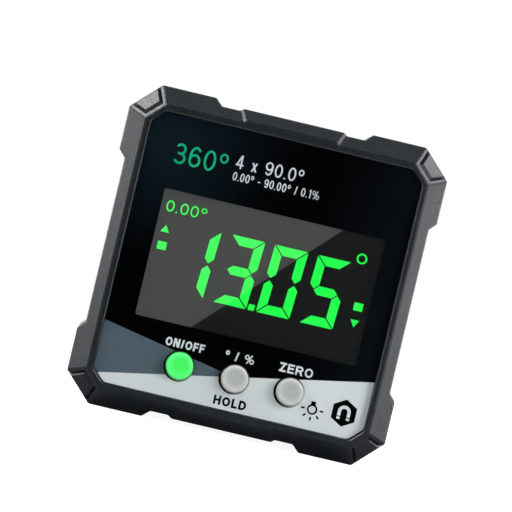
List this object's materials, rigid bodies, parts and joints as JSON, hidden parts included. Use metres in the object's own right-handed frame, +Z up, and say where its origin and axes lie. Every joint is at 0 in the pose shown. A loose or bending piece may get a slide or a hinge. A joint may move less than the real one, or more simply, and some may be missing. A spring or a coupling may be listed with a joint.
{
  "type": "digital angle gauge",
  "caption": "Square box inclinometer with a moulded front bezel, window over a lit display, round keys, magnetic sides and a hinged battery cover at the back.",
  "frame": {"origin": "middle of the footprint, on the surface that the lower bumpers stand on", "axes": "+Z up with the display upright, +X to the right seen from the front, the display faces -Y"},
  "size_m": [0.06, 0.027, 0.06],
  "materials": {
    "case_plastic": "fine spark-eroded texture, black",
    "window": "clear hard-coated window, printed behind",
    "seal_rubber": "soft grey seal",
    "display_glass": "polished display glass",
    "light_guide": "milky light guide",
    "connector": "layered contact strip",
    "frame_plastic": "white moulded frame",
    "board": "green solder mask",
    "chip": "moulded chip body",
    "switch_shell": "pressed switch shell",
    "plunger": "switch plunger",
    "green_key": "bright green satin key",
    "grey_key": "light grey satin key",
    "cell_wrap": "plain wrapped cell",
    "contact_metal": "nickel-plated spring strip",
    "screw_steel": "zinc-plated screws",
    "magnet_nickel": "nickel-plated disc magnets"
  },
  "bodies": {
    "case": {"front_bezel": "case_plastic", "rear_housing": "case_plastic", "housing_seal": "seal_rubber", "display_window": "window", "lcd_panel": "display_glass", "light_guide": "light_guide", "lcd_connector": "connector", "lcd_frame": "frame_plastic", "main_board": "board", "processor_chip": "chip", "tilt_sensor": "chip", "on_off_switch": "switch_shell", "hold_switch": "switch_shell", "zero_switch": "switch_shell", "upper_cell": "cell_wrap", "lower_cell": "cell_wrap", "link_contact": "contact_metal", "upper_contact": "contact_metal", "lower_contact": "contact_metal", "upper_spring": "contact_metal", "lower_spring": "contact_metal", "case_screw_1": "screw_steel", "case_screw_2": "screw_steel", "case_screw_3": "screw_steel", "case_screw_4": "screw_steel", "board_screw_1": "screw_steel", "board_screw_2": "screw_steel", "magnet_bottom_1": "magnet_nickel", "magnet_bottom_2": "magnet_nickel", "magnet_top_1": "magnet_nickel", "magnet_top_2": "magnet_nickel", "magnet_left_1": "magnet_nickel", "magnet_left_2": "magnet_nickel", "magnet_right_1": "magnet_nickel", "magnet_right_2": "magnet_nickel"},
    "on_off": {"on_off_key": "green_key", "on_off_plunger": "plunger"},
    "hold": {"hold_key": "grey_key", "hold_plunger": "plunger"},
    "zero": {"zero_key": "grey_key", "zero_plunger": "plunger"},
    "cover": {"battery_cover": "case_plastic"}
  },
  "joints": [
    {"name": "on_off_press", "type": "slide", "parent": "case", "child": "on_off", "axis": [0, 1, 0], "range_m": [0, 0.0005], "stiffness_N_per_m": 1500, "springref_m": -0.0003},
    {"name": "hold_press", "type": "slide", "parent": "case", "child": "hold", "axis": [0, 1, 0], "range_m": [0, 0.0005], "stiffness_N_per_m": 1500, "springref_m": -0.0003},
    {"name": "zero_press", "type": "slide", "parent": "case", "child": "zero", "axis": [0, 1, 0], "range_m": [0, 0.0005], "stiffness_N_per_m": 1500, "springref_m": -0.0003},
    {"name": "cover_hinge", "type": "hinge", "parent": "case", "child": "cover", "pos_m": [0, 0.01245, 0.0184], "axis": [-1, 0, 0], "range_deg": [0, 80]}
  ]
}
